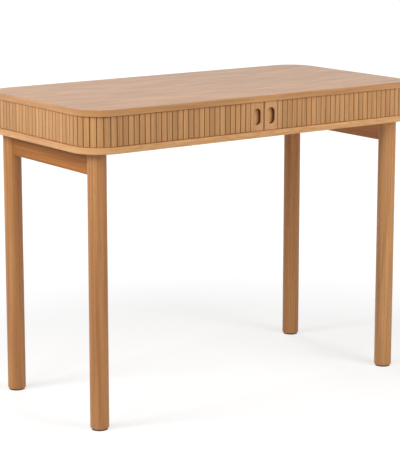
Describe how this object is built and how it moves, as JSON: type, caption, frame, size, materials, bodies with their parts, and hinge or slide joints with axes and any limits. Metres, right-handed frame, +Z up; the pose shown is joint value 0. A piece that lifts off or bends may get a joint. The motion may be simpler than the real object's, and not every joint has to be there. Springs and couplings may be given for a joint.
{
  "type": "tambour desk",
  "caption": "Writing desk with a shallow round-cornered case on straight round legs; two flexible slatted tambour doors part at the middle of the front and slide round the corners.",
  "frame": {"origin": "on the floor, under the middle of the desk", "axes": "+X along the desk's length, -Y towards the sitter at the front, +Z up"},
  "size_m": [1, 0.5, 0.764],
  "materials": {
    "oak_top": "pale oak veneer, matt lacquer, grain along the length",
    "oak_board": "oak, matt lacquer, grain along the length",
    "oak_slat": "oak slats, matt lacquer, upright grain",
    "oak_leg": "solid oak, matt lacquer, upright grain",
    "oak_lining": "oak veneered panel, matt",
    "beech_dowel": "bare beech",
    "canvas": "brown cotton canvas, glued to the slats",
    "zinc_steel": "zinc plated",
    "glide_plastic": "dark brown moulded glide"
  },
  "bodies": {
    "desk": {"top_board": "oak_top", "bottom_board": "oak_board", "back_panel": "oak_board", "centre_divider": "oak_lining", "inner_back_panel": "oak_lining", "panel_dowels_top": "beech_dowel", "panel_dowels_bottom": "beech_dowel", "leg_studs": "zinc_steel", "leg_inserts": "zinc_steel", "left_side_panel": "oak_lining", "left_corner_slats": "oak_slat", "left_side_slats": "oak_slat", "left_rear_corner_slats": "oak_slat", "left_side_canvas": "canvas", "left_apron": "oak_leg", "left_apron_dowels": "beech_dowel", "front_left_leg": "oak_leg", "rear_left_leg": "oak_leg", "front_left_glide": "glide_plastic", "rear_left_glide": "glide_plastic", "right_side_panel": "oak_lining", "right_corner_slats": "oak_slat", "right_side_slats": "oak_slat", "right_rear_corner_slats": "oak_slat", "right_side_canvas": "canvas", "right_apron": "oak_leg", "right_apron_dowels": "beech_dowel", "front_right_leg": "oak_leg", "rear_right_leg": "oak_leg", "front_right_glide": "glide_plastic", "rear_right_glide": "glide_plastic"},
    "left_tambour": {"left_lead_slat": "oak_slat", "left_front_slats": "oak_slat", "left_front_canvas": "canvas", "left_canvas_batten": "oak_slat", "left_batten_screws": "zinc_steel"},
    "right_tambour": {"right_lead_slat": "oak_slat", "right_front_slats": "oak_slat", "right_front_canvas": "canvas", "right_canvas_batten": "oak_slat", "right_batten_screws": "zinc_steel"}
  },
  "joints": [
    {"name": "left_tambour_slide", "type": "slide", "parent": "desk", "child": "left_tambour", "axis": [-1, 0, 0], "range_m": [0, 0.3672], "deforming": ["left_front_slats", "left_front_canvas"]},
    {"name": "right_tambour_slide", "type": "slide", "parent": "desk", "child": "right_tambour", "axis": [1, 0, 0], "range_m": [0, 0.3672], "deforming": ["right_front_slats", "right_front_canvas"]}
  ]
}
